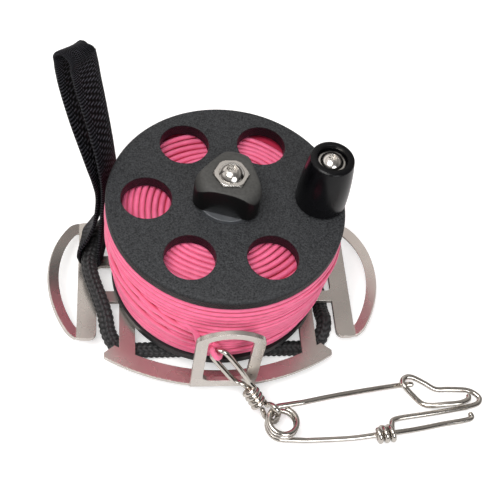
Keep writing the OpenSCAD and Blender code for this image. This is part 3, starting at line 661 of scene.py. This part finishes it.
def webbing(i, turn):
    """A flat section with rounded edges."""
    x, y = math.cos(turn), math.sin(turn)
    return (strap_w / 2 * math.copysign(abs(x) ** edge_round, x),
            strap_t / 2 * math.copysign(abs(y) ** edge_round, y), 1.0)


skin = bmesh.new()
sweep(skin, smooth_loop, webbing, 28, ring=True, facing=widths)
black_webbing, nodes, join, shader = plain("black_nylon_webbing", (0.012, 0.012, 0.014), 0.45)
yarns = nodes.new("ShaderNodeTexBrick")
yarns.offset = 0.5
for key, value in (("Scale", 1.0), ("Mortar Size", 0.24), ("Mortar Smooth", 0.5), ("Bias", 0.0),
                   ("Brick Width", 0.8), ("Row Height", 0.6)):
    yarns.inputs[key].default_value = value
yarns.inputs["Color1"].default_value = (1, 1, 1, 1)
yarns.inputs["Color2"].default_value = (0.55, 0.55, 0.55, 1)
yarns.inputs["Mortar"].default_value = (0, 0, 0, 1)
turned_over = nodes.new("ShaderNodeMapping")
turned_over.inputs["Rotation"].default_value = (0, 0, math.pi / 2)
join(places(nodes, join, (600, 24, 1), "UV"), turned_over.inputs["Vector"])
join(turned_over.outputs["Vector"], yarns.inputs["Vector"])
tone = nodes.new("ShaderNodeRGBToBW")
join(yarns.outputs["Color"], tone.inputs["Color"])
shader.inputs["Specular IOR Level"].default_value = 0.05
shades(nodes, join, tone.outputs["Val"], shader, (0.0005, 0.0005, 0.0008), (0.11, 0.11, 0.13))
relief(nodes, join, tone.outputs["Val"], shader, 0.0004, 0.8)
strap = piece("wrist_loop", skin, "frame", black_webbing, "webbing_black", "wrist_strap")

# ---- Spring clip ----
# A longline clip bent from 2.4 mm stainless spring wire: a coil, a lower leg,
# a latch loop wound on it with a keeper, and the arm that hooks into the latch.
wire_d, wire_step, wire_sides = 2.4, 0.5, 14
wire = steel("bright_spring_wire", (0.62, 0.58, 0.53), 0.16, stretch=(500, 4, 1), depth=0.00001, source="UV")
ground = -6.6
eye_wire = 2.4
bail_room = 1.8
curl = 24
coil_at = (25, -74.6)
coil_r = 6.2
coil_pitch = wire_d + 0.55
coil_low = ground + bail_room + 0.4 + wire_d / 2
lie = ground + wire_d / 2 + 0.1
keeper_r = wire_d + 0.5
keeper_z = lie + keeper_r


def coil_point(turns):
    a = math.radians(-90 - 360 * turns)
    return (coil_at[0] + coil_r * math.cos(a), coil_at[1] + coil_r * math.sin(a),
            coil_low + coil_pitch * turns)


def millimetres(run):
    return [tuple(p / MM) for p in run]


def wire_piece(name, points, diameter, body, *nodes):
    run = evenly([Vector(p) * MM for p in points], wire_step * MM)
    skin = bmesh.new()
    sweep(skin, run, rounded(len(run), diameter / 2 * MM, 2), wire_sides)
    return piece(name, skin, body, wire, "wire_steel", *nodes)


leg_points = [
    (111, -70, lie + 1.2), (111.4, -72.6, lie), (98, -74.8, lie), (86, -77.2, lie + 1), (75, -79.3, keeper_z),
    (66, -80.2, keeper_z), (54, -81.2, lie + 2.4), (35.5, -81.4, coil_low - 0.2)]
leg_coil, arm_coil_from, arm_coil = 1.5, 1.54, 0.96
leg = millimetres(through(leg_points, 6))
leg += [coil_point(i / curl) for i in range(int(curl * leg_coil) + 1)]
wire_piece("clip_leg", leg, wire_d, "clip", "clip_body")

arm_points = [
    (34.3, -66.8, 3.4), (50.8, -62.8, 1.2), (69.9, -58.7, -1.6), (80, -56, lie + 0.4),
    (84.5, -55.3, lie), (88.4, -55.3, lie)]
arm = [coil_point(arm_coil_from + arm_coil * i / curl) for i in range(curl + 1)]
arm += millimetres(through(arm_points, 6))
wire_piece("clip_spring_arm", arm, wire_d, "arm", "clip_arm")

keeper_at = Vector((70.5, -79.75, keeper_z))
keeper_dir = Vector((9, 0.9, 0)).normalized()
keeper_side = Vector((-keeper_dir.y, keeper_dir.x, 0))
keeper_turns = 2.5
hook_z = lie + wire_d + 0.4
latch_points = [
    (74.9, -73.6, lie + 0.4), (78, -71.6, lie), (96.5, -69.2, lie), (113.8, -66.3, lie),
    (117.8, -63.6, lie), (116.6, -60.8, lie), (112.5, -58.7, lie), (104, -58.1, lie),
    (98, -57.9, lie), (92.6, -55.6, lie + 1.8), (87.4, -53.2, hook_z), (84.2, -53, hook_z),
    (82.2, -55, hook_z), (83, -57.6, hook_z), (86, -60.8, lie + 1.4), (90.2, -64.6, lie),
    (94, -66.2, lie + 0.9), (100, -66.3, lie + 2.2), (107, -66, lie + 2.7), (111.5, -64.2, lie + 2.7),
    (111.6, -61.6, lie + 2.7)]


def keeper_point(turns):
    a = math.radians(90 + 360 * turns)
    return (keeper_at + keeper_dir * coil_pitch * (turns - keeper_turns / 2)
            + keeper_r * (math.cos(a) * keeper_side + math.sin(a) * Vector((0, 0, 1))))


latch = [tuple(keeper_point(0) + wire_d * (keeper_side - 0.2 * keeper_dir))]
latch += [tuple(keeper_point(i / curl)) for i in range(int(curl * keeper_turns) + 1)]
latch += millimetres(through(latch_points, 6))
wire_piece("clip_hook", latch, wire_d, "clip", "clip_latch")

# ---- Clip's eye ----
# A long loop of 2.4 mm wire, closed by a barrel of close turns, whose tail
# goes on as a bail through the clip's coil.
eye_top = Vector((-4.6, -53.6, 26.6))
eye_foot = Vector((10.8, -62.1, 7.5))
eye_dir = (eye_foot - eye_top).normalized()
eye_wide = eye_dir.cross(Vector((0, 1, 0))).normalized()
barrel_dir = Vector((6.5, -6.5, -7.5)).normalized()
barrel_up = (Vector((0, 0, 1)) - barrel_dir * barrel_dir.z).normalized()
barrel_side = barrel_dir.cross(barrel_up)
wrap_r = 2.4 / math.cos(math.radians(180 / 8))
wrap_pitch = 2.35
wrap_turns = 3.85
barrel_end = eye_foot + barrel_dir * wrap_pitch * wrap_turns


def wrap_point(turns):
    a = math.radians(-33 + 360 * turns)
    return (eye_foot + barrel_dir * wrap_pitch * turns
            + wrap_r * (math.cos(a) * barrel_up + math.sin(a) * barrel_side))


eye_loop = [(21.6, -0.9), (19.4, -2.5), (15.5, -3.1), (10.5, -3.2), (3.2, -3.2), (0.9, -2.3), (0, 0),
            (0.9, 2.3), (3.2, 3.2), (10.5, 3.2), (16, 3), (22, 2.4)]
bail_points = [
    (18.6, -67.6, 3.6), (19.3, -68.4, 5.6), (20.8, -69.9, 6.8), (22.4, -71.4, 5.9),
    (23, -72.3, 3.2), (23, -72.4, -1.8), (22.3, -71.9, -4.6), (20.6, -70.4, ground + eye_wire / 2),
    (18.8, -69.3, -5), (17.9, -69, -2.6)]
loop_marks = [barrel_end - barrel_dir, eye_foot] + [eye_top + s * eye_dir + w * eye_wide for s, w in eye_loop]
eye = millimetres(through(loop_marks, 6))
eye += [tuple(wrap_point(i / curl)) for i in range(int(curl * wrap_turns) + 1)]
eye += millimetres(through([wrap_point(wrap_turns)] + bail_points + [barrel_end + 1.6 * barrel_dir], 6))
clip_eye = wire_piece("clip_ring", eye, eye_wire, "eye", "clip_eye")
